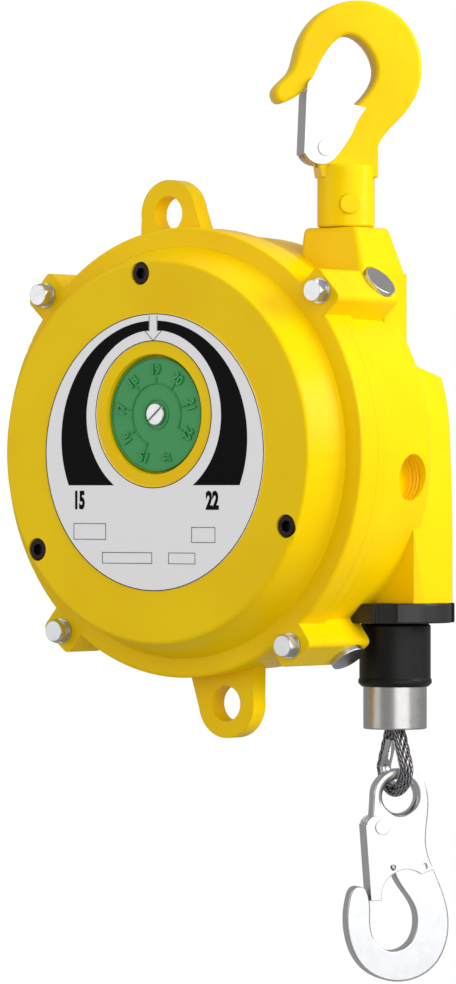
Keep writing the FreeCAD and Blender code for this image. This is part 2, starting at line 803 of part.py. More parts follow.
def ropeWindings():
    last = grooveCount - 1
    first = 3.0
    sweep = anchorAngle - math.degrees((anchorLength / 2 + 0.5) / groovePlace(last)[0]) - first
    rings = [ropeRing(k, 360, 0) for k in range(1, last)]
    return Part.makeCompound(rings + [ropeRing(last, sweep, first)])


def anchorShape():
    # Ferrule on the rope's end, lying along the groove of the drum's wide end.
    radius, y = groovePlace(grooveCount - 1)
    x, z = polar(radius - 1.0, anchorAngle)
    along = vec(-math.sin(math.radians(anchorAngle)), 0, math.cos(math.radians(anchorAngle)))
    return Part.makeCylinder(anchorRadius, anchorLength, vec(x, y, z) - along * anchorLength / 2, along)


def springArbor():
    return ringY(arborRadius, arborBore, arborFront, drumFront - 0.4 + arborSeat)


def bearingRings(outer):
    rings = []
    for start in bearingStarts:
        back, middle = start + bearingWidth, start + bearingWidth / 2
        if outer:
            ring = ringY(bearingOuter, bearingOuter - raceWall, start, back)
        else:
            ring = ringY(axleRadius + raceWall, axleRadius, start, back)
        track = Part.makeTorus(ballCircle, ballRadius + ballGap, vec(0, middle, 0), vec(0, 1, 0))
        rings.append(ring.cut(track))
    return Part.makeCompound(rings)


def bearingBalls():
    balls = []
    for start in bearingStarts:
        for k in range(ballCount):
            x, z = polar(ballCircle, 360.0 * k / ballCount)
            balls.append(Part.makeSphere(ballRadius, vec(x, start + bearingWidth / 2, z)))
    return Part.makeCompound(balls)


def ratchetRing():
    step = 360.0 / ratchetTeeth
    corners = []
    for k in range(ratchetTeeth):
        corners.append(polar(ratchetRoot, ratchetStart + k * step))
        corners.append(polar(ratchetTip, ratchetStart + k * step + 0.8))
    ring = prismY(corners, ratchetFront, ratchetFront + ratchetWidth)
    holes = [rodY(ratchetBore, 0, 99)]
    for k in range(4):
        holes.append(rodY(ratchetScrewRadius, 0, 99, *polar(ratchetScrewCircle, 90 * k + 45)))
    return ring.cut(holes)


def ratchetScrews():
    back = ratchetFront + ratchetWidth
    screws = []
    for k in range(4):
        place = polar(ratchetScrewCircle, 90 * k + 45)
        head = rodY(ratchetScrewRadius * 1.8, back, back + 2.4, *place)
        screws.append(head.fuse(rodY(ratchetScrewRadius, webFront, back, *place)))
    return Part.makeCompound(screws)


def stopPawl():
    # A short lever beside the ratchet; its nose stays clear of the teeth until it is thrown in.
    y0, y1 = ratchetFront + 1.4, ratchetFront + pawlWidth
    boss = rodY(pawlBossRadius, y0, y1)
    arm = plateXZ((-pawlBossRadius + 1.5, 3.0), [
        (-pawlBossRadius + 1.5, -3.0), (-pawlReach, -pawlNose), (-pawlReach - 0.6, pawlNose),
        (-8.0, 6.0)], y0, y1)
    lever = joined([boss, arm]).cut(rodY(pawlPinRadius + shaftGap, y0 - 1, y1 + 1))
    return lever.rotated(vec(0, 0, 0), vec(0, -1, 0), pawlAim).translated(vec(pawlX, 0, pawlZ))


def pawlPin():
    front = ratchetFront + 1.3
    head = rodY(pawlPinRadius + 1.5, front - 0.9, front, pawlX, pawlZ)
    pin = rodY(pawlPinRadius, front, rearInner - 1, pawlX, pawlZ)
    return joined([head, pin])


# ---- rope outlet ----

def ropeGuide():
    flange = rodZ(guideRadius, guideFoot, columnFoot, ropeX, ropeY)
    flange = rounded(flange, 0.8, lambda edge: edge.Length > 100)
    tube = rodZ(columnBore - shaftGap, columnFoot, columnFoot + guideTubeLength, ropeX, ropeY)
    body = flange.fuse(tube)
    notch = block(-guideNotch / 2, guideNotch / 2, -guideRadius - 1, -guideRadius + 5.5,
                  guideFoot - 1, columnFoot + 1)
    cuts = [notch.rotated(vec(0, 0, 0), vec(0, 0, 1), turn).translated(vec(ropeX, ropeY, 0))
            for turn in (27.0, 117.0, 207.0, 297.0)]
    cuts.append(rodZ(columnBore - guideTubeWall, guideFoot - 1, 0, ropeX, ropeY))
    mouth = Part.makeCone(columnBore + 1, columnBore - guideTubeWall, 4.0,
                          vec(ropeX, ropeY, guideFoot))
    cuts.append(mouth)
    cuts += [guideScrew(angle)[1] for angle in guideScrewAngles]
    cuts += [rodY(wallRadius + 1, partingY, wallBackY), rodY(humpRadius, wallBackY, humpBackY),
             rodY(humpRadius + 2, wallBackY, wallBackY + 2),
             boss(earAngles[3])]
    return body.cut(cuts)


def guideScrew(angle):
    # The screw, and the shape of its hole with the sunk seat for the head.
    x, y = [a + b for a, b in zip((ropeX, ropeY), polar(guideScrewCircle, angle))]
    shank = rodZ(guideScrewRadius, guideFoot + guideScrewSink, columnFoot + 10, x, y)
    head = rodZ(guideScrewHead, guideFoot + 0.6, guideFoot + guideScrewSink, x, y)
    sink = rodZ(guideScrewHead + 0.3, guideFoot - 1, guideFoot + guideScrewSink, x, y)
    socket = rodZ(1.7, guideFoot, guideFoot + 2.6, x, y)
    return head.fuse(shank).cut(socket), shank.fuse(sink)


def guideScrews():
    return Part.makeCompound([guideScrew(angle)[0] for angle in guideScrewAngles])


def ropeRun():
    return rodZ(ropeRadius, ferruleTop, 0, ropeX, ropeY)


# ---- load end ----

def rubberBuffer():
    return turnedZ((bufferBore, bufferFoot), [
        (bufferRadius - bufferLip, bufferFoot), (bufferRadius, bufferFoot + bufferLip),
        (bufferRadius, bufferFoot + bufferLip + 1.6), (bufferRadius - 0.5, bufferFoot + bufferLip + 2.4),
        (bufferRadius - 0.5, bufferTop - 1.2), (bufferRadius - 1.7, bufferTop),
        (bufferBore, bufferTop)], ropeX, ropeY)


def stopSleeve():
    inner = sleeveRadius - sleeveWall
    return turnedZ((bufferBore, bufferFoot), [
        (bufferBore, ferruleTop), (inner, ferruleTop), (inner, sleeveFoot),
        (sleeveRadius - 0.6, sleeveFoot), (sleeveRadius, sleeveFoot + 0.6),
        (sleeveRadius, bufferFoot)], ropeX, ropeY)


def ropeFerrule():
    # Swaged block that fills the sleeve and holds the eye's two legs.
    body = rodZ(sleeveRadius - sleeveWall, ferruleTop - ferruleLength, ferruleTop, ropeX, ropeY)
    return body.cut(eyePath(eyeRopeRadius))


def eyePath(radius):
    # The legs leave the ferrule close together, spread, and meet in the half round of the eye.
    reach = thimbleInner + thimbleThick + eyeRopeRadius
    top, foot = ferruleTop - ferruleLength + 4.0, sleeveFoot + 1.0
    near = 3.2
    edges = [Part.makeLine(vec(-near, 0, top), vec(-near, 0, foot)),
             Part.makeLine(vec(-near, 0, foot), vec(-reach, 0, eyeCentreZ)),
             Part.Arc(vec(-reach, 0, eyeCentreZ), vec(0, 0, eyeCentreZ - reach),
                      vec(reach, 0, eyeCentreZ)).toShape(),
             Part.makeLine(vec(reach, 0, eyeCentreZ), vec(near, 0, foot)),
             Part.makeLine(vec(near, 0, foot), vec(near, 0, top))]
    ring = Part.Wire([Part.makeCircle(radius, vec(-near, 0, top), vec(0, 0, 1))])
    sweep = Part.BRepOffsetAPI.MakePipeShell(Part.Wire(edges))
    sweep.add(ring)
    sweep.setTransitionMode(2)
    sweep.build()
    sweep.makeSolid()
    return aimed(sweep.shape(), eyeAzimuth, ropeX, ropeY)


def ropeEye():
    return eyePath(eyeRopeRadius)


def thimble():
    # Bent strip inside the eye, open at the top where the legs close.
    reach = thimbleInner + thimbleThick
    start, low = sleeveFoot - 4.0, eyeCentreZ
    near = 4.4
    strip = plateXZ((-near, start), [
        (-reach, low), ((0, low - reach), (reach, low)), (near, start), (near - thimbleThick, start),
        (thimbleInner, low), ((0, low - thimbleInner), (-thimbleInner, low)),
        (-near + thimbleThick, start)], -thimbleWidth / 2, thimbleWidth / 2)
    strip = aimed(strip, eyeAzimuth, ropeX, ropeY)
    return strip.cut(eyePath(eyeRopeRadius))


def snapHook():
    smooth = [
        (-7.8, -155.0), (1.8, -151.0), (11.4, -155.0), (15.3, -164.5), (14.4, -188.0), (18.3, -200.0),
        (25.4, -222.0), (18.5, -245.3), (0.5, -252.7), (-17.5, -245.0), (-24.9, -226.0),
        (-23.9, -213.0), (-20.6, -207.2), (-16.8, -207.6), (-14.3, -211.5), (-13.4, -225.0),
        (-11.0, -233.0), (-2.6, -238.0), (6.0, -234.5), (9.6, -224.5), (8.2, -217.0), (3.0, -209.0),
        (-1.6, -200.7)]
    half = snapThick / 2
    plate = plateXZ((-11.7, -164.5), [smooth, (-9.0, -184.9), ((-14.2, -178.7), (-12.35, -174.2))],
                    -half, half)
    plate = rounded(plate, snapEdgeRound, lambda edge: edge.BoundBox.YLength < 1e-6)
    plate = plate.cut(rodY(snapHoleRadius, -half - 1, half + 1, 1.2, -164.3))
    plate = rounded(plate, snapHoleRound, lambda edge: edge.BoundBox.YLength < 1e-6
                    and abs(edge.Length - 2 * math.pi * snapHoleRadius) < 0.1)
    plate = plate.cut(rodY(gateRivetRadius, -half - 1, half + 1, *gateRivet))
    return aimed(plate, snapAzimuth, ropeX, ropeY)


def snapGate():
    # Folded channel: two cheeks beside the plate, joined by a web along the left edge.
    inner = snapThick / 2 + runGap
    outer = inner + gateThick
    steps = [(-15.6, -176.8), ((-13.4, -174.1), (-9.9, -173.3)), (-4.6, -173.5), (17.6, -199.2),
             (11.5, -201.4), ((4.5, -199.0), (-1.9, -200.7)), ((-6.2, -204.5), (-8.3, -213.6)),
             (-13.1, -213.8)]
    cheeks = [plateXZ((-13.1, -213.8), steps[:-1], side * inner, side * outer) for side in (-1, 1)]
    web = prismY([(-16.2, -177.5), (-14.95, -177.5), (-12.2, -213.8), (-13.5, -213.8)], -outer, outer)
    gate = joined(cheeks + [web])
    cuts = [rodY(gateRivetRadius + shaftGap, -20, 20, *gateRivet),
            rodY(1.4, -20, 0, -2.6, -198.1), rodY(0.9, -20, 0, 13.2, -197.2),
            rodY(0.9, -20, 0, 13.6, -198.2)]
    return aimed(gate.cut(cuts), snapAzimuth, ropeX, ropeY)


def gateRivetPiece():
    reach = snapThick / 2 + runGap + gateThick
    pin = rodY(gateRivetRadius, -reach - 0.1, reach + 0.1, *gateRivet)
    heads = [rodY(gateRivetHead, reach + 0.1, reach + 0.9, *gateRivet),
             rodY(gateRivetHead, -reach - 0.9, -reach - 0.1, *gateRivet)]
    return aimed(joined([pin] + heads), snapAzimuth, ropeX, ropeY)


# ---- upper hook ----

def upperHook():
    half = hookThick / 2
    smooth = [
        (18.5, 152.6), (26.0, 160.4), (33.4, 171.8), (35.6, 184.6), (26.6, 206.2), (5.0, 215.2),
        (-15.9, 206.9), (-24.9, 191.0), (-28.8, 180.0), (-36.0, 170.2), (-33.8, 166.3),
        (-28.8, 167.2), (-19.6, 174.6), (-13.6, 186.0), (0.0, saddleZ), (13.4, 182.0),
        (9.4, 171.5), (1.0, 163.5), (-8.2, 157.4), (-14.5, 152.2), (-19.5, 144.8), (-14.5, 137.4)]
    blade = plateXZ((14.0, 131.0), [(14.0, 145.0), smooth, (-13.5, 131.0)], -half, half)
    blade = rounded(blade, hookEdgeRound, lambda edge: edge.BoundBox.YLength < 1e-6
                    and edge.BoundBox.ZMax > saddleZ)
    blade = aimed(blade, hookAzimuth, hookX, hookY)
    socket = rodZ(socketRadius, neckTop + runGap, socketTop, hookX, hookY)
    socket = rounded(socket, 1.2, lambda edge: edge.BoundBox.ZMin > socketTop - 0.1
                     or edge.BoundBox.ZMax < neckTop + 1)
    pivot = latchPivot
    slot = block(-30, pivot[0] + 6.5, -latchSlot / 2, latchSlot / 2, pivot[1] - 9, pivot[1] + 14)
    hole = rodY(latchRivetRadius, -30, 30, *pivot)
    cuts = [aimed(slot, hookAzimuth, hookX, hookY), aimed(hole, hookAzimuth, hookX, hookY),
            rodZ(stemRadius, neckTop, socketTop - 4, hookX, hookY), hookCrossPin(), crossPinShape(pinRadius)]
    return joined([blade, socket]).cut(cuts)


def crossPinShape(radius, start=None):
    out = vec(math.sin(math.radians(pinAzimuth)), -math.cos(math.radians(pinAzimuth)), 0)
    back = vec(hookX, hookY, pinZ) - out * (socketRadius if start is None else start)
    return Part.makeCylinder(radius, 2 * socketRadius, back, out)


def hookCrossPin():
    out = vec(math.sin(math.radians(pinAzimuth)), -math.cos(math.radians(pinAzimuth)), 0)
    seat = vec(hookX, hookY, pinZ) + out * (socketRadius - 1.0)
    head = Part.makeCylinder(pinHeadRadius, pinHeadHeight, seat, out)
    return joined([crossPinShape(pinRadius, socketRadius - 1.0), head])


def hookStem():
    stem = rodZ(stemRadius, nutFoot, socketTop - 4, hookX, hookY)
    return stem.cut(crossPinShape(pinRadius))


def stemNut():
    corners = [polar(nutAcross / math.sqrt(3), 60 * k) for k in range(6)]
    points = [vec(hookX + a, hookY + b, nutFoot) for a, b in corners]
    nut = Part.Face(Part.makePolygon(points + points[:1])).extrude(vec(0, 0, nutHeight))
    return nut.cut(rodZ(stemRadius, nutFoot - 1, nutTop + 1, hookX, hookY))


def thrustWasher():
    washer = rodZ(chamberRadius - 0.1, chamberTop - thrustThick, chamberTop, hookX, hookY)
    return washer.cut(rodZ(stemRadius + shaftGap, chamberTop - 9, chamberTop + 1, hookX, hookY))


def swivelBush():
    bush = rodZ(bushOuter, chamberTop, neckTop, hookX, hookY)
    return bush.cut(rodZ(stemRadius + shaftGap, chamberTop - 1, neckTop + 1, hookX, hookY))


def hookLatch():
    # Pressed channel: two cheeks over the throat, joined by a web along the tip side.
    inner = hookThick / 2 + runGap
    outer = inner + latchPlate
    steps = [(-20.6, 174.6), ((-18.2, 177.6), (-14.6, 177.9)), (-8.0, 171.2), (-2.1, 166.4), (8.0, 163.8),
             ((3.4, 157.0), (1.2, 151.6)), ((-3.6, 144.4), (-7.4, 139.6)),
             ((-13.6, 136.9), (-21.4, 141.4))]
    cheeks = [plateXZ((-21.9, 143.0), steps, side * inner, side * outer) for side in (-1, 1)]
    web = prismY([(-22.2, 142.0), (-20.7, 142.0), (-19.5, 171.0), (-21.0, 171.0)], -outer, outer)
    latch = joined(cheeks + [web])
    hole = rodY(latchRivetRadius + shaftGap, -30, 30, *latchPivot)
    return aimed(latch.cut(hole), hookAzimuth, hookX, hookY)


def latchRivet():
    reach = hookThick / 2 + runGap + latchPlate
    pin = rodY(latchRivetRadius, -reach - 0.1, reach + 0.1, *latchPivot)
    heads = [rodY(latchRivetHead, reach + 0.1, reach + 1.3, *latchPivot),
             rodY(latchRivetHead, -reach - 1.3, -reach - 0.1, *latchPivot)]
    return aimed(joined([pin] + heads), hookAzimuth, hookX, hookY)


def latchSpring():
    spring = coil(vec(latchPivot[0], -coilPitch * (coilTurns - 1) / 2, latchPivot[1]))
    return aimed(spring, hookAzimuth, hookX, hookY)


def pawlSpring():
    return coil(vec(pawlX, ratchetFront + pawlWidth + 0.5, pawlZ))


# ---- places that pieces share ----

anchorAngle = 250.0
anchorRadius = 4.0
anchorLength = 12.0
ballCircle = (axleRadius + bearingOuter) / 2
wormPhase = 216.0
noseLength = math.hypot(pawlReach, pawlNose)
noseBelow = math.degrees(math.atan2(pawlNose, pawlReach))


def noseSwing(radius):
    # Angle at the pivot between the outward direction and the pawl's nose at the given radius.
    square = radius ** 2 - pawlCircle ** 2 - noseLength ** 2
    return math.degrees(math.acos(square / (2 * pawlCircle * noseLength)))


noseRest = pawlAngle + noseSwing(ratchetTip + pawlGap)
pawlAim = noseRest - 180 - noseBelow
thrownX, thrownZ = [a + b for a, b in zip((pawlX, pawlZ), polar(noseLength, noseRest + pawlThrow))]
ratchetStart = math.degrees(math.atan2(thrownZ, thrownX)) + 1.5

pieces = {
    "main_housing": mainHousing, "front_cover": frontCover, "name_plate": namePlate,
    "cover_bolts": coverBolts,
    "cover_washers": lambda: washers(washerRadius, flangeFront - washerThick, flangeFront),
    "cover_spring_washers": lambda: washers(
        springWasherRadius, flangeFront - washerThick - springWasherThick, flangeFront - washerThick),
    "partition_screws": partitionScrews, "partition_plate": partitionPlate,
    "main_axle": mainAxle, "axle_nut": axleNut,
    "upper_plug": lambda: plug(earAngles[0]), "lower_plug": lambda: plug(earAngles[3]),
    "load_dial": loadDial, "dial_screw": dialScrew, "dial_gear": dialGear,
    "dial_pinion": dialPinion, "worm_wheel": wormWheel, "spring_holder": springHolder,
    "mainspring": mainspring, "worm": worm, "worm_bushes": wormBushes,
    "drum": drum, "spring_arbor": springArbor, "rope_windings": ropeWindings,
    "rope_anchor": anchorShape, "bearing_outer_rings": lambda: bearingRings(True),
    "bearing_inner_rings": lambda: bearingRings(False), "bearing_balls": bearingBalls,
    "ratchet_ring": ratchetRing, "ratchet_screws": ratchetScrews, "stop_pawl": stopPawl,
    "pawl_pin": pawlPin, "pawl_spring": pawlSpring, "rope_guide": ropeGuide,
    "guide_screws": guideScrews, "rope_lead": lambda: ropeRing(0, 300, 0), "rope_run": ropeRun,
    "rubber_buffer": rubberBuffer, "stop_sleeve": stopSleeve, "rope_ferrule": ropeFerrule,
    "rope_eye": ropeEye, "rope_thimble": thimble, "snap_hook": snapHook, "snap_gate": snapGate,
    "gate_rivet": gateRivetPiece, "upper_hook": upperHook, "hook_stem": hookStem,
    "hook_cross_pin": hookCrossPin, "stem_nut": stemNut, "thrust_washer": thrustWasher,
    "swivel_bush": swivelBush, "hook_latch": hookLatch, "latch_rivet": latchRivet,
    "latch_spring": latchSpring,
}

os.makedirs("parts", exist_ok=True)
for name, build in pieces.items():
    shape = build().translated(vec(-hookX, -hookY, -saddleZ))
    if shape.ShapeType == "Compound" and len(shape.Solids) == 1:
        shape = shape.Solids[0]
    print(name, len(shape.Solids), "solids", round(shape.Volume), "mm3",
          "" if shape.isValid() else "INVALID")
    shape.exportStep("parts/" + name + ".step")
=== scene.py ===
import json
import math

import bmesh
import bpy
import numpy as np
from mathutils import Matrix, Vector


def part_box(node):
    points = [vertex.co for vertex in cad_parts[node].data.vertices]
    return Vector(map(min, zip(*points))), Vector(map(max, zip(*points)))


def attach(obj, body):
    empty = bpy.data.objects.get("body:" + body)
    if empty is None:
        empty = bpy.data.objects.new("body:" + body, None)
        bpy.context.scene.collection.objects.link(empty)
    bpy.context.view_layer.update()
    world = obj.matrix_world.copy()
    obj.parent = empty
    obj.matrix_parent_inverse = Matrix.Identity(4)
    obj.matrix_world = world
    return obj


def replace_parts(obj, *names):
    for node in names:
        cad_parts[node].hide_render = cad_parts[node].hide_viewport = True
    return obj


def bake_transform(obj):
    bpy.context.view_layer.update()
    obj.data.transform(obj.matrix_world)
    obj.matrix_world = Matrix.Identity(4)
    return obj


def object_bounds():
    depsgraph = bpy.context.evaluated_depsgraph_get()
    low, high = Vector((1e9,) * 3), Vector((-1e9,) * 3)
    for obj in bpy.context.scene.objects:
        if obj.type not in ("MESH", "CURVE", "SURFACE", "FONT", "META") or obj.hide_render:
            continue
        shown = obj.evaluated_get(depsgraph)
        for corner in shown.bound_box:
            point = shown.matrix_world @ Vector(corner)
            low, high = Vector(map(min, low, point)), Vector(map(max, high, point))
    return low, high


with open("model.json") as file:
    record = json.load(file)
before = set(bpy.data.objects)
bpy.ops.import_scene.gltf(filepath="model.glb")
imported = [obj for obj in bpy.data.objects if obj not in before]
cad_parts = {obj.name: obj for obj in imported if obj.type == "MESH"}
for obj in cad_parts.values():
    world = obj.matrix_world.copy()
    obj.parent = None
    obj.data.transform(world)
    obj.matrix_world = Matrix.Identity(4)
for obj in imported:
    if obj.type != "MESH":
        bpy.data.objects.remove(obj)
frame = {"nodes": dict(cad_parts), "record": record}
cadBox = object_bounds()
nodes, record = frame["nodes"], frame["record"]
mm = 0.001
print("frame loaded:", len(nodes), "nodes")


def boxOf(node):
    low, high = (np.array(corner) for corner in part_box(node))
    return low, high, (low + high) / 2


# The dial and the plate face -Y, the rope and the swivel are upright.
plateLow, plateHigh, plateMiddle = boxOf("name_plate")
dialLow, dialHigh, dialMiddle = boxOf("load_dial")
ropeLow, ropeHigh, ropeMiddle = boxOf("rope_run")


def linearColour(hexText, share=1.0):
    # From sRGB hex to linear light by the sRGB formula, darkened to a share of itself.
    parts = [int(hexText[k:k + 2], 16) / 255 for k in (1, 3, 5)]
    light = [c / 12.92 if c <= 0.04045 else ((c + 0.055) / 1.055) ** 2.4 for c in parts]
    return [c * share for c in light] + [1.0]


def addNode(tree, kind, inputs=None, **settings):
    # One node with its settings; an input is a plain value or another node's output socket.
    node = tree.nodes.new(kind)
    for key, value in settings.items():
        setattr(node, key, value)
    for key, value in (inputs or {}).items():
        if isinstance(value, bpy.types.NodeSocket):
            tree.links.new(value, node.inputs[key])
        else:
            node.inputs[key].default_value = value
    return node


def newMaterial(name):
    material = bpy.data.materials.new(name)
    material.use_nodes = True
    tree = material.node_tree
    tree.nodes.clear()
    place = addNode(tree, "ShaderNodeTexCoord").outputs["Object"]
    return material, tree, place


def finishMaterial(tree, shader):
    addNode(tree, "ShaderNodeOutputMaterial", {"Surface": shader.outputs[0]})


def principled(material, tree, inputs):
    finishMaterial(tree, addNode(tree, "ShaderNodeBsdfPrincipled", inputs))
    return material


def noiseAt(tree, place, sizeMm, detail=3.0, rough=0.5, stretch=(1, 1, 1)):
    # Noise whose blobs are about sizeMm across; stretch shortens the pattern along an axis.
    mapped = addNode(tree, "ShaderNodeMapping", {"Vector": place, "Scale": stretch})
    return addNode(tree, "ShaderNodeTexNoise", {
        "Vector": mapped.outputs[0], "Scale": 1 / (sizeMm * mm), "Detail": detail,
        "Roughness": rough}).outputs[0]


def rampOf(tree, value, stops):
    # Colour ramp from (position, colour) pairs.
    ramp = addNode(tree, "ShaderNodeValToRGB", {"Fac": value})
    while len(ramp.color_ramp.elements) < len(stops):
        ramp.color_ramp.elements.new(0.5)
    for element, (position, colour) in zip(ramp.color_ramp.elements, stops):
        element.position, element.color = position, colour
    return ramp.outputs[0]


def grey(level):
    return (level, level, level, 1.0)


def rangeOf(tree, value, low, high):
    return addNode(tree, "ShaderNodeMapRange", {
        "Value": value, "To Min": low, "To Max": high}).outputs[0]


def bumpOf(tree, height, depthMm, normal=None):
    inputs = {"Height": height, "Distance": depthMm * mm, "Strength": 1.0}
    if normal is not None:
        inputs["Normal"] = normal
    return addNode(tree, "ShaderNodeBump", inputs).outputs[0]


def softEdge(tree, radiusMm):
    return addNode(tree, "ShaderNodeBevel", {"Radius": radiusMm * mm}, samples=6).outputs[0]


def meshPiece(name, points, faces, body, material, smooth=True):
    mesh = bpy.data.meshes.new(name)
    mesh.from_pydata(np.asarray(points).reshape(-1, 3).tolist(), [], faces)
    mesh.polygons.foreach_set("use_smooth", [smooth] * len(mesh.polygons))
    mesh.materials.append(material)
    mesh.update()
    piece = bpy.data.objects.new(name, mesh)
    bpy.context.scene.collection.objects.link(piece)
    if body:
        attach(piece, body)
    return piece


def gridFaces(rows, columns, closeRows=False, closeColumns=False, start=0):
    # Quads of a grid of rows x columns points, closed round either way.
    i, j = np.meshgrid(np.arange(rows if closeRows else rows - 1),
                       np.arange(columns if closeColumns else columns - 1), indexing="ij")
    nextI, nextJ = (i + 1) % rows, (j + 1) % columns
    quads = np.stack([i * columns + j, i * columns + nextJ, nextI * columns + nextJ,
                      nextI * columns + j], axis=-1)
    return (quads.reshape(-1, 4) + start).tolist()


def outward(piece):
    work = bmesh.new()
    work.from_mesh(piece.data)
    bmesh.ops.remove_doubles(work, verts=work.verts, dist=1e-7)
    bmesh.ops.recalc_face_normals(work, faces=work.faces)
    work.to_mesh(piece.data)
    work.free()
    return piece


def powderCoat(name, colours, peelMm, peelDepth, edgeMm, gloss):
    # Powder coat on an aluminium casting: glossy, with a faint orange peel and soft edges.
    material, tree, place = newMaterial(name)
    colour = rampOf(tree, noiseAt(tree, place, 60, 2), [
        (0.35, linearColour(colours[0])), (0.65, linearColour(colours[1]))])
    peel = noiseAt(tree, place, peelMm, 2, 0.4)
    normal = bumpOf(tree, peel, peelDepth, softEdge(tree, edgeMm))
    return principled(material, tree, {
        "Base Color": colour, "Roughness": rangeOf(tree, noiseAt(tree, place, 9, 3), *gloss),
        "Normal": normal, "IOR": 1.5, "Specular IOR Level": 0.1})


def sheetPaint(name, hexText, roughness, specular=0.3):
    # Printed film on a thin plate: even colour, satin, with a fine dust of roughness.
    material, tree, place = newMaterial(name)
    speck = noiseAt(tree, place, 0.8, 2)
    return principled(material, tree, {
        "Base Color": rampOf(tree, speck, [
            (0.3, linearColour(hexText, 0.97)), (0.7, linearColour(hexText))]),
        "Roughness": rangeOf(tree, speck, roughness - 0.05, roughness + 0.05),
        "Specular IOR Level": specular,
        "Normal": bumpOf(tree, noiseAt(tree, place, 14, 1), 0.02)})


def mouldedPlastic(name, hexText, roughness, grainMm=0.7, grainDepth=0.008, edgeMm=0.25):
    # Injection moulded plastic: satin, fine spark-eroded grain and slightly rounded edges.
    material, tree, place = newMaterial(name)
    grain = noiseAt(tree, place, grainMm, 3, 0.6)
    return principled(material, tree, {
        "Base Color": rampOf(tree, noiseAt(tree, place, 18, 2), [
            (0.3, linearColour(hexText, 0.93)), (0.7, linearColour(hexText))]),
        "Roughness": rangeOf(tree, grain, roughness - 0.06, roughness + 0.06), "IOR": 1.49,
        "Normal": bumpOf(tree, grain, grainDepth, softEdge(tree, edgeMm))})


def metal(name, hexText, roughness, streak=(1, 1, 1), streakMm=3.0, streakDepth=0.004, stain=0.12,
          stainMm=7.0, edgeMm=0.25):
    # Bare or plated steel: machining marks along one direction, and a thin uneven film of oil.
    material, tree, place = newMaterial(name)
    marks = noiseAt(tree, place, streakMm, 3, 0.6, streak)
    film = noiseAt(tree, place, stainMm, 4, 0.6)
    return principled(material, tree, {
        "Base Color": rampOf(tree, film, [
            (0.35, linearColour(hexText, 1 - stain)), (0.65, linearColour(hexText))]),
        "Metallic": 1.0,
        "Roughness": rangeOf(tree, marks, roughness * 0.75, roughness * 1.25),
        "Normal": bumpOf(tree, marks, streakDepth, softEdge(tree, edgeMm))})


def rubber():
    # Moulded rubber: dull black with a thin bloom that greys it in patches.
    material, tree, place = newMaterial("mouldedRubber")
    bloom = noiseAt(tree, place, 16, 4, 0.6)
    grain = noiseAt(tree, place, 0.9, 2)
    return principled(material, tree, {
        "Base Color": rampOf(tree, bloom, [
            (0.35, linearColour("#0A0A0A")), (0.75, linearColour("#141414"))]),
        "Roughness": rangeOf(tree, bloom, 0.36, 0.5), "Specular IOR Level": 0.25,
        "Normal": bumpOf(tree, grain, 0.012, softEdge(tree, 0.5))})


def wireRope():
    # Drawn wires in each strand: fine ridges that run along the strand by its own UV. The same bands
    # also set the colour: painted shade, dark, in the grooves between the wires, and painted
    # highlights, light, on their crests.
    material, tree = newMaterial("wireRope")[:2]
    along = addNode(tree, "ShaderNodeTexCoord").outputs["UV"]
    mapped = addNode(tree, "ShaderNodeMapping", {"Vector": along, "Rotation": (0, 0, 0.5)})
    wires = addNode(tree, "ShaderNodeTexWave", {
        "Vector": mapped.outputs[0], "Scale": 0.314, "Distortion": 0.3},
        bands_direction="Y").outputs["Fac"]
    return principled(material, tree, {
        # Base colour from the wire bands: painted shade (#2B2A2C) in the grooves and painted
        # highlights (#BDBABF) on the crests.
        "Base Color": rampOf(tree, wires, [
            (0.2, linearColour("#2B2A2C")), (0.8, linearColour("#BDBABF"))]),
        "Metallic": 1.0, "Roughness": 0.38, "Normal": bumpOf(tree, wires, 0.12)})


yellowCoat = powderCoat("yellowPowderCoat", ("#FFD800", "#FCCF00"), peelMm=1.6, peelDepth=0.02,
                        edgeMm=0.7, gloss=(0.24, 0.36))
forgedPaint = powderCoat("yellowPaintOnForging", ("#FFDA00", "#F7CC00"), peelMm=4.5, peelDepth=0.35,
                         edgeMm=1.0, gloss=(0.18, 0.32))
plateWhite = sheetPaint("plateEnamelWhite", "#FBFAFC", 0.4)
printBlack = sheetPaint("printedBlack", "#0B0909", 0.6, specular=0.08)
dialGreen = mouldedPlastic("dialGreenPlastic", "#2F9E52", 0.38)
zincPlate = metal("zincPlate", "#CFD0D2", 0.3, stainMm=5.0, stain=0.05, streakDepth=0.002)
blackOxide = metal("blackOxideSteel", "#332B2F", 0.42, stain=0.25)
turnedSteel = metal("turnedBrightSteel", "#C4C3C1", 0.3, streak=(0.15, 0.15, 6), streakMm=1.2,
                    stain=0.08)
polishedPlate = metal("polishedPlate", "#D2D3D6", 0.26, streakMm=6.0, streakDepth=0.001,
                      stain=0.03, edgeMm=0.5)
springSteel = metal("bluedSpringSteel", "#6C7078", 0.35)
bronze = metal("turnedBronze", "#B98A4A", 0.34)
castAlloy = metal("machinedAlloy", "#B9BABB", 0.4)
drawnRope = wireRope()
blackRubber = rubber()
blackNylon = mouldedPlastic("blackNylon", "#1B1B1C", 0.36, grainMm=1.0, grainDepth=0.01,
                            edgeMm=0.4)

finishes = {
    "yellow_casting": yellowCoat, "yellow_forging": forgedPaint, "plate_white": plateWhite,
    "dial_green": dialGreen, "zinc_plate": zincPlate, "black_steel": blackOxide,
    "bright_steel": turnedSteel, "polished_steel": polishedPlate, "spring_steel": springSteel,
    "bronze": bronze, "cast_alloy": castAlloy, "rope_steel": drawnRope,
    "black_rubber": blackRubber, "black_nylon": blackNylon,
}
for part in record["subparts"]:
    data = nodes[part["node"]].data
    data.materials.clear()
    data.materials.append(finishes[part["material_slot"]])
print("materials on the frame:", len(finishes))


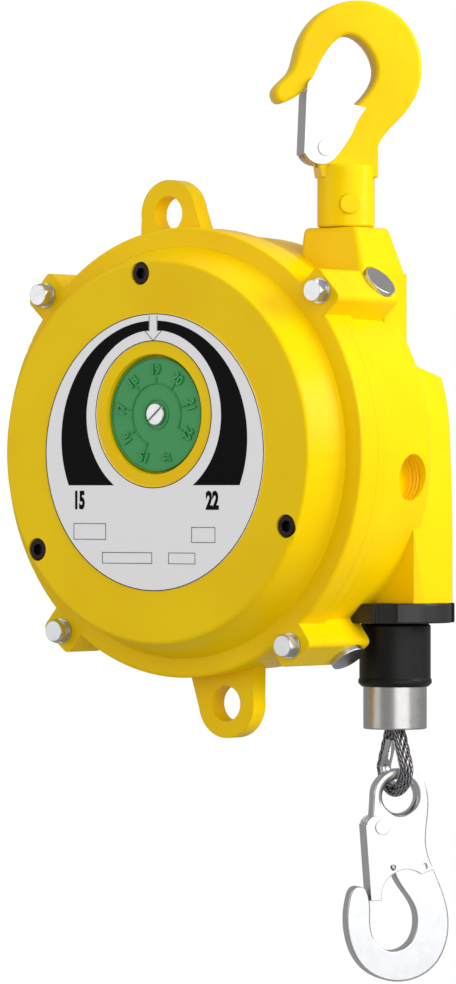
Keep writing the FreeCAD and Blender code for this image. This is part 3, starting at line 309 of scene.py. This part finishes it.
plate = {
    "sheetMm": 0.42,        # thickness of the plate under its print
    "holeRadius": 34.6,
    "outlineMm": 0.45,      # black line round the rim and the hole
    "edgeGap": 0.05,        # by which that line keeps off the sheet's edge
    "segments": 144,        # of a full circle
    "bandSteps": 64,
    "bandFoot": -15.6,      # heights and radii in mm from the middle of the plate
    "bandTopX": 2.7,
    "outer": (6.4, 56.0),   # centre height and radius of the bands' outer curve
    "inner": (17.3, 40.6),
    "arrowHalf": 2.4,
    "arrowHead": (57.7, 52.9, 5.2),     # heights of its base and tip, and half its width
    "arrowTop": 64.6,
    "boxes": ((-48.3, -28.8, -41.4, -33.9), (23.1, 37.0, -42.6, -35.5),
              (-30.8, -0.8, -52.7, -47.6), (9.3, 25.1, -52.7, -47.6)),
    "boxLine": 0.28,
    "numbers": (("15", -44.6, -22.7, 0.62), ("22", 35.4, -22.7, 0.66)),
    "numberHeight": 9.0,
    "numberWeight": 0.05,
}
plateRadius = (plateHigh[0] - plateLow[0]) / 2 / mm
holeRadius = plate["holeRadius"]
dialRise = (dialMiddle[2] - plateMiddle[2]) / mm
sheetFront = plateHigh[1] - plate["sheetMm"] * mm
inkFront = plateLow[1]


def onFace(middle, x, z, y):
    # From mm across a face about its middle to metres in the frame, at the depth y.
    x, z = np.asarray(x, float), np.asarray(z, float)
    return np.stack([middle[0] + x * mm, y + np.zeros(x.shape), middle[2] + z * mm], axis=-1)


def endFaces(count):
    # The two ends of a bar whose section has four corners and whose rows have count points.
    first = [0, count, 2 * count, 3 * count]
    return [first, [corner + count - 1 for corner in reversed(first)]]


def printedShape(name, outer, inner, material, back, front, closed=False):
    # A flat band between two curves of equal count, from back to front.
    count = len(outer)
    points = np.stack([onFace(plateMiddle, *curve.T, y) for curve, y in (
        (outer, front), (inner, front), (inner, back), (outer, back))])
    faces = gridFaces(4, count, closeRows=True, closeColumns=closed)
    faces += [] if closed else endFaces(count)
    return outward(meshPiece(name, points, faces, "casing", material, False))


def ringShape(name, outer, inner, middles, material, back, front):
    # Circles of two radii about two middles, as a closed ring.
    angle = np.linspace(0, 2 * math.pi, plate["segments"], endpoint=False)
    circle = np.stack([np.cos(angle), np.sin(angle)], axis=-1)
    return printedShape(name, circle * outer + np.array([0, middles[0]]),
                        circle * inner + np.array([0, middles[1]]), material, back, front, True)


sheet = ringShape("plate_sheet", plateRadius, holeRadius, (0, dialRise), plateWhite, plateHigh[1],
                  sheetFront)
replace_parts(sheet, "name_plate")
line, gap = plate["outlineMm"], plate["edgeGap"]
ringShape("plate_rim_line", plateRadius - gap, plateRadius - line, (0, 0), printBlack,
          sheetFront, inkFront)
ringShape("plate_hole_line", holeRadius + line, holeRadius + gap, (dialRise, dialRise), printBlack,
          sheetFront, inkFront)


def arcTo(centre, radius, side):
    # From the top beside the arrow round to the flat foot: equal steps of angle about the centre.
    first = math.acos(plate["bandTopX"] / radius)
    last = math.asin((plate["bandFoot"] - centre) / radius)
    angle = np.linspace(first, last, plate["bandSteps"])
    return np.stack([side * radius * np.cos(angle), centre + radius * np.sin(angle)], axis=-1)


for side, word in ((-1, "left"), (1, "right")):
    printedShape("plate_band_" + word, arcTo(*plate["outer"], side), arcTo(*plate["inner"], side),
                 printBlack, sheetFront, inkFront)


def strokeShape(name, corners, width, closed=False):
    # A thin line along corners: each point is moved half the width to both sides, mitred.
    path = np.array(corners, float)
    before = np.roll(path, 1, axis=0) if closed else np.vstack([2 * path[0] - path[1], path[:-1]])
    after = np.roll(path, -1, axis=0) if closed else np.vstack([path[1:], 2 * path[-1] - path[-2]])
    a = (path - before) / np.linalg.norm(path - before, axis=1, keepdims=True)
    b = (after - path) / np.linalg.norm(after - path, axis=1, keepdims=True)
    normal = np.stack([-(a + b)[:, 1], (a + b)[:, 0]], axis=-1)
    length = np.linalg.norm(normal, axis=1, keepdims=True)
    normal = normal / length / (length / 2)
    left, right = path + normal * width / 2, path - normal * width / 2
    return printedShape(name, left, right, printBlack, sheetFront, inkFront, closed)


headTop, headTip, headHalf = plate["arrowHead"]
half = plate["arrowHalf"]
strokeShape("plate_arrow_line", [
    (-half, plate["arrowTop"]), (-half, headTop), (-headHalf, headTop), (0, headTip),
    (headHalf, headTop), (half, headTop), (half, plate["arrowTop"])], plate["boxLine"])
for k, (x0, x1, z0, z1) in enumerate(plate["boxes"]):
    strokeShape("plate_box_%d" % (k + 1), [(x0, z0), (x1, z0), (x1, z1), (x0, z1)],
                plate["boxLine"], True)


def textPoints(words, height, widthScale, heavy):
    # A word as a mesh in mm about its own middle, in the x-z plane, its front at y 0 and its
    # back at y 1.
    curve = bpy.data.curves.new("lettering", "FONT")
    curve.body, curve.size, curve.offset = words, 1.0, heavy
    curve.align_x, curve.resolution_u = "CENTER", 4
    holder = bpy.data.objects.new("lettering", curve)
    bpy.context.scene.collection.objects.link(holder)
    bpy.context.view_layer.update()
    depsgraph = bpy.context.evaluated_depsgraph_get()
    flat = bpy.data.meshes.new_from_object(holder.evaluated_get(depsgraph))
    bpy.data.objects.remove(holder)
    points = np.empty(len(flat.vertices) * 3)
    flat.vertices.foreach_get("co", points)
    points = points.reshape(-1, 3)[:, :2]
    middle = (points.min(axis=0) + points.max(axis=0)) / 2
    size = points.max(axis=0) - points.min(axis=0)
    work = bmesh.new()
    work.from_mesh(flat)
    bpy.data.meshes.remove(flat)
    bmesh.ops.remove_doubles(work, verts=work.verts, dist=1e-4)
    work.verts.index_update()
    count = len(work.verts)
    kept = np.array([vertex.co[:2] for vertex in work.verts])
    front = [[vertex.index for vertex in face.verts] for face in work.faces]
    rim = [[vertex.index for vertex in edge.verts] for edge in work.edges
           if len(edge.link_faces) == 1]
    work.free()
    kept = (kept - middle) * height / size[1] * np.array([widthScale, 1.0])
    result = np.concatenate([np.stack([kept[:, 0], np.full(count, y), kept[:, 1]], axis=-1)
                             for y in (0.0, 1.0)])
    walls = [[i, j, j + count, i + count] for i, j in rim]
    return result, front + [[i + count for i in face] for face in front] + walls


for words, x, z, widthScale in plate["numbers"]:
    points, faces = textPoints(words, plate["numberHeight"], widthScale, plate["numberWeight"])
    placed = onFace(plateMiddle, points[:, 0] + x, points[:, 2] + z,
                    inkFront + points[:, 1] * (sheetFront - inkFront))
    outward(meshPiece("plate_number_" + words, placed, faces, "casing", printBlack,
                      False))
print("name plate: sheet, bands, arrow, boxes and numbers")


dial = {
    "numbers": (("19", 0), ("20", 38), ("21", 77), ("22", 116), ("kg", 163), ("15", -159),
                ("16", -121), ("17", -82), ("18", -41)),
    "numberHeight": 5.3,
    "numberWidth": 0.88,
    "numberWeight": 0.045,
    "numberRadius": 21.3,
    "rise": 0.9,
    "sunk": 0.05,           # by which a numeral's back lies in the dial
    "arcRadius": 14.6,
    "arcWidth": 0.55,
    "arcSteps": 120,
    "tickEnd": 17.8,
    "tickSteps": 4,
    "tickAngles": (-159, -121, -82, -41, 0, 38, 77, 116),
    "collarRadius": 7.0,
    "collarWidth": 0.9,
    "rimInset": 0.5,
    "rimWidth": 0.7,
    "fullTurn": 359.99,     # just short of closed, so that the two ends don't meet
    "fullSteps": 90,
}
dialRadius = (dialHigh[0] - dialLow[0]) / 2 / mm
dialFace = dialLow[1]


def turnedOnDial(x, z, degrees):
    # Clockwise turn of a point on the dial.
    a = math.radians(degrees)
    return x * math.cos(a) + z * math.sin(a), -x * math.sin(a) + z * math.cos(a)


dialPoints, dialFaces = [], []


def addToDial(points, faces):
    start = sum(len(block) for block in dialPoints)
    dialPoints.append(points)
    dialFaces.extend([[index + start for index in face] for face in faces])


riseM = dial["rise"] * mm
for words, angle in dial["numbers"]:
    points, faces = textPoints(words, dial["numberHeight"], dial["numberWidth"],
                               dial["numberWeight"])
    x, z = turnedOnDial(points[:, 0], points[:, 2] + dial["numberRadius"], angle)
    addToDial(onFace(dialMiddle, x, z,
                     dialFace - riseM + points[:, 1] * (riseM + dial["sunk"] * mm)), faces)


def tangentOf(path):
    # Unit steps from the point before to the point after.
    tangent = np.gradient(path, axis=0)
    return tangent / np.linalg.norm(tangent, axis=1, keepdims=True)


def ridge(path, width):
    # A rib of trapezoid section along a path on the dial; its crest is three fifths as wide.
    path = np.array(path, float)
    tangent = tangentOf(path)
    side = np.stack([-tangent[:, 1], tangent[:, 0]], axis=-1)
    rows = []
    for share, lift in ((-0.5, -0.05), (-0.3, 0.7), (0.3, 0.7), (0.5, -0.05)):
        edge = path + side * share * width
        rows.append(onFace(dialMiddle, *edge.T, dialFace - lift * riseM))
    count = len(path)
    addToDial(np.concatenate(rows), gridFaces(4, count, closeRows=True) + endFaces(count))


def roundRidge(radius, first, last, steps, width):
    # A ridge along an arc about the dial's middle, from one angle clockwise to the other.
    angle = np.radians(np.linspace(first, last, steps))
    ridge(np.stack([radius * np.sin(angle), radius * np.cos(angle)], axis=-1), width)


ticks = dial["tickAngles"]
roundRidge(dial["arcRadius"], ticks[0], ticks[-1], dial["arcSteps"], dial["arcWidth"])
for angle in ticks:
    a = math.radians(angle)
    reach = np.linspace(dial["arcRadius"], dial["tickEnd"], dial["tickSteps"])[:, None]
    ridge(reach * np.array([math.sin(a), math.cos(a)]), dial["arcWidth"])
for radius, width in ((dial["collarRadius"], dial["collarWidth"]),
                      (dialRadius - dial["rimInset"], dial["rimWidth"])):
    roundRidge(radius, 0, dial["fullTurn"], dial["fullSteps"], width)
outward(meshPiece("dial_numerals", np.concatenate(dialPoints), dialFaces, "dial_unit",
                  dialGreen, False))
print("dial: numerals, arc and ticks")


rope = {
    "strands": 6,
    "eyeRadiusMm": 3.1,
    "layMm": 34.0,          # length of rope in which a strand goes once round
    "azimuth": -25.0,       # of the plane in which the eye lies
    "legsApartMm": 3.2,     # of each leg from the eye's middle
    "legFootMm": 1.0,       # above the sleeve's foot, where the legs start to spread
    "around": 12,           # points round a strand
    "strandShare": 0.36,    # radius of a strand and of its helix, as shares of the rope's
    "orbitShare": 0.64,
    "wiresRound": 6,        # how far the pattern of wires runs round a strand
    "arcSteps": 60,
    "eyeSteps": 150,
    "runSteps": 160,
    "softenings": 3,
}


def strandTubes(path, side, radius, lay, count, around):
    # Strands: circles of about a third of the rope's radius, whose middles run in a helix of
    # about two thirds of it round the path. side is the constant normal of the path's plane.
    tangent = tangentOf(path)
    across = np.cross(tangent, side)
    along = np.concatenate([[0], np.cumsum(np.linalg.norm(np.diff(path, axis=0), axis=1))])
    strand, orbit = radius * rope["strandShare"], radius * rope["orbitShare"]
    points, faces, uv = [], [], []
    phi = np.linspace(0, 2 * math.pi, around, endpoint=False)
    for k in range(count):
        turn = 2 * math.pi * (along / lay + k / count)
        radial = np.cos(turn)[:, None] * side + np.sin(turn)[:, None] * across
        middle = path + radial * orbit
        binormal = np.cross(tangent, radial)
        ring = (middle[:, None, :] + strand * (np.cos(phi)[None, :, None] * radial[:, None, :]
                                               + np.sin(phi)[None, :, None] * binormal[:, None, :]))
        start = len(points) * len(path) * around
        points.append(ring.reshape(-1, 3))
        faces += gridFaces(len(path), around, closeColumns=True, start=start)
        faces.append(list(range(start, start + around)))
        faces.append(list(range(start + (len(path) - 1) * around, start + len(path) * around)))
        u, v = np.meshgrid(along / mm, phi / (2 * math.pi) * rope["wiresRound"], indexing="ij")
        uv.append(np.stack([u, v], axis=-1).reshape(-1, 2))
    return np.concatenate(points), faces, np.concatenate(uv)


def strandPiece(name, path, side, radius, body):
    points, faces, uv = strandTubes(path, side, radius, rope["layMm"] * mm, rope["strands"],
                                    rope["around"])
    piece = meshPiece(name, points, faces, body, drawnRope)
    layer = piece.data.uv_layers.new(name="UVMap")
    corners = np.empty(len(piece.data.loops), int)
    piece.data.loops.foreach_get("vertex_index", corners)
    layer.data.foreach_set("uv", uv[corners].ravel())
    return piece


eyeLow, eyeHigh = boxOf("rope_eye")[:2]
eyeRadius = rope["eyeRadiusMm"] * mm
azimuth = math.radians(rope["azimuth"])
across = np.array([math.cos(azimuth), math.sin(azimuth), 0.0])
eyeNormal = np.array([-math.sin(azimuth), math.cos(azimuth), 0.0])
reach = ((eyeHigh[0] - eyeLow[0]) / 2 - eyeRadius) / math.cos(azimuth)
eyeCentre = eyeLow[2] + eyeRadius + reach
sleeveFoot = boxOf("stop_sleeve")[0][2]
legApart = rope["legsApartMm"] * mm


def eyePath(steps):
    # Down one leg, round the half circle, up the other leg, at even spacing.
    top, foot = eyeHigh[2], sleeveFoot + rope["legFootMm"] * mm
    turn = np.linspace(math.pi, 2 * math.pi, rope["arcSteps"])
    u = np.concatenate([[-legApart, -legApart], reach * np.cos(turn), [legApart, legApart]])
    z = np.concatenate([[top, foot], eyeCentre + reach * np.sin(turn), [foot, top]])
    length = np.concatenate([[0], np.cumsum(np.hypot(np.diff(u), np.diff(z)))])
    even = np.linspace(0, length[-1], steps)
    u, z = np.interp(even, length, u), np.interp(even, length, z)
    for _ in range(rope["softenings"]):         # softens the corners where the legs spread
        u[1:-1] = (u[:-2] + 2 * u[1:-1] + u[2:]) / 4
        z[1:-1] = (z[:-2] + 2 * z[1:-1] + z[2:]) / 4
    middle = np.array([ropeMiddle[0], ropeMiddle[1], 0.0])
    return middle + u[:, None] * across + z[:, None] * np.array([0, 0, 1.0])


eye = strandPiece("rope_eye_strands", eyePath(rope["eyeSteps"]), eyeNormal, eyeRadius, "load_end")
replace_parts(eye, "rope_eye")

thimble = {
    "innerMm": 3.2,         # radii about the rope's middle
    "outerMm": 3.85,
    "wrap": 54.0,           # degrees to either side
    "aboveMm": 14.0,        # how far it reaches above the eye's middle
    "across": 9,
    "steps": 240,
}


def thimblePoints(path):
    # A shell about the rope's inner side: at each point of the path, arcs of two radii about the
    # rope's middle that open by the wrap angle to both sides of the direction to the eye's middle.
    inward = np.cross(tangentOf(path), eyeNormal)
    centre = np.array([ropeMiddle[0], ropeMiddle[1], eyeCentre])
    inward *= np.sign(np.sum((centre - path) * inward, axis=1))[:, None]
    theta = np.radians(np.linspace(-thimble["wrap"], thimble["wrap"], thimble["across"]))
    theta = np.concatenate([theta, theta[::-1]])
    radius = np.repeat([thimble["outerMm"], thimble["innerMm"]], thimble["across"]) * mm
    return (path[:, None, :] + (radius * np.cos(theta))[None, :, None] * inward[:, None, :]
            + (radius * np.sin(theta))[None, :, None] * eyeNormal)


strip = eyePath(thimble["steps"])
strip = strip[strip[:, 2] < eyeCentre + thimble["aboveMm"] * mm]
ring = 2 * thimble["across"]
thimbleFaces = gridFaces(len(strip), ring, closeColumns=True)
thimbleFaces += [list(range(ring)), list(range((len(strip) - 1) * ring, len(strip) * ring))]
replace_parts(outward(meshPiece("rope_thimble_shell", thimblePoints(strip), thimbleFaces, "load_end",
                              polishedPlate)), "rope_thimble")

runRadius = (ropeHigh[0] - ropeLow[0]) / 2
runZ = np.linspace(ropeHigh[2], ropeLow[2], rope["runSteps"])
runPath = np.stack([np.full(runZ.shape, ropeMiddle[0]), np.full(runZ.shape, ropeMiddle[1]), runZ],
                   axis=-1)
run = strandPiece("rope_run_strands", runPath, np.array([0.0, 1.0, 0.0]), runRadius, None)
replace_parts(run, "rope_run")
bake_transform(run)
print("rope: eye and run in strands")


def pointAt(thing, target):
    way = np.array(target) - np.array(thing.location)
    horizontal = math.hypot(way[0], way[1])
    thing.rotation_euler = (math.pi / 2 + math.atan2(way[2], horizontal), 0,
                            math.atan2(way[1], way[0]) - math.pi / 2)


stage = {
    "floorDrop": 1.6,       # the rope runs out 1.5 m, so the floor lies below its full travel
    "floorSize": 6.0,
}

floorMesh = bpy.data.meshes.new("floor")
reachFloor = stage["floorSize"] / 2
floorZ = cadBox[0][2] - stage["floorDrop"]
floorMesh.from_pydata([(x * reachFloor, y * reachFloor, floorZ)
                       for x, y in ((-1, -1), (1, -1), (1, 1), (-1, 1))], [], [(0, 1, 2, 3)])
floor = bpy.data.objects.new("floor", floorMesh)
bpy.context.scene.collection.objects.link(floor)
floorMaterial, tree = newMaterial("paleFloor")[:2]
pale = addNode(tree, "ShaderNodeBsdfDiffuse", {"Color": grey(0.7)})
glow = addNode(tree, "ShaderNodeEmission", {"Color": grey(1.0), "Strength": 0.8})
lit = addNode(tree, "ShaderNodeAddShader", {0: pale.outputs[0], 1: glow.outputs[0]})
ray = addNode(tree, "ShaderNodeLightPath").outputs["Is Camera Ray"]
finishMaterial(tree, addNode(tree, "ShaderNodeMixShader", {
    0: ray, 1: pale.outputs[0], 2: lit.outputs[0]}))
floorMesh.materials.append(floorMaterial)

world = bpy.data.worlds.new("studio")
bpy.context.scene.world = world
world.use_nodes = True
tree = world.node_tree
tree.nodes.clear()
# White to camera and transmission rays, and a softer light to all others.
path = addNode(tree, "ShaderNodeLightPath").outputs
seen = addNode(tree, "ShaderNodeMath", {0: path["Is Camera Ray"], 1: path["Is Transmission Ray"]},
               operation="MAXIMUM").outputs[0]
soft = addNode(tree, "ShaderNodeBackground", {"Color": grey(1.0), "Strength": 0.38})
white = addNode(tree, "ShaderNodeBackground", {"Color": grey(1.0), "Strength": 1.0})
sky = addNode(tree, "ShaderNodeMixShader", {0: seen, 1: soft.outputs[0], 2: white.outputs[0]})
addNode(tree, "ShaderNodeOutputWorld", {"Surface": sky.outputs[0]})

view = {
    "azimuth": 37.5,        # the camera stands this far to the right of the dial's own axis
    "distance": 2.62,
    "lens": 201.0,
    "sensor": 36.0,
    "farthest": 20.0,
    "height": -0.2174,
    "sideways": -0.0563,    # middle of the picture, along the camera's right
}
turn = math.radians(view["azimuth"])
toCamera = np.array([math.sin(turn), -math.cos(turn), 0.0])
cameraRight = np.array([math.cos(turn), math.sin(turn), 0.0])
middle = cameraRight * view["sideways"] + np.array([0, 0, view["height"]])
lamps = {
    "key": {"right": 0.75, "near": 1.5, "up": 0.4, "size": 1.8, "power": 16.5},
    "side": {"right": 1.3, "near": 0.3, "up": 0.5, "size": 0.6, "power": 12.0},
    "fill": {"right": -1.3, "near": 0.35, "up": 0.3, "size": 1.0, "power": 3.6},
    "top": {"right": 0.1, "near": 0.1, "up": 1.5, "size": 0.9, "power": 5.0},
}
for name, lamp in lamps.items():
    data = bpy.data.lights.new(name, "AREA")
    data.size, data.energy = lamp["size"], lamp["power"]
    light = bpy.data.objects.new(name, data)
    bpy.context.scene.collection.objects.link(light)
    light.location = (middle + cameraRight * lamp["right"] + toCamera * lamp["near"]
                      + np.array([0, 0, lamp["up"]]))
    pointAt(light, middle)

cameraData = bpy.data.cameras.new("camera")
cameraData.lens, cameraData.sensor_width = view["lens"], view["sensor"]
cameraData.clip_end = view["farthest"]
camera = bpy.data.objects.new("camera", cameraData)
bpy.context.scene.collection.objects.link(camera)
camera.location = middle + toCamera * view["distance"]
pointAt(camera, middle)
bpy.context.scene.camera = camera
bpy.context.scene.view_settings.view_transform = "Standard"
print("stage: floor, world, four lamps and camera")
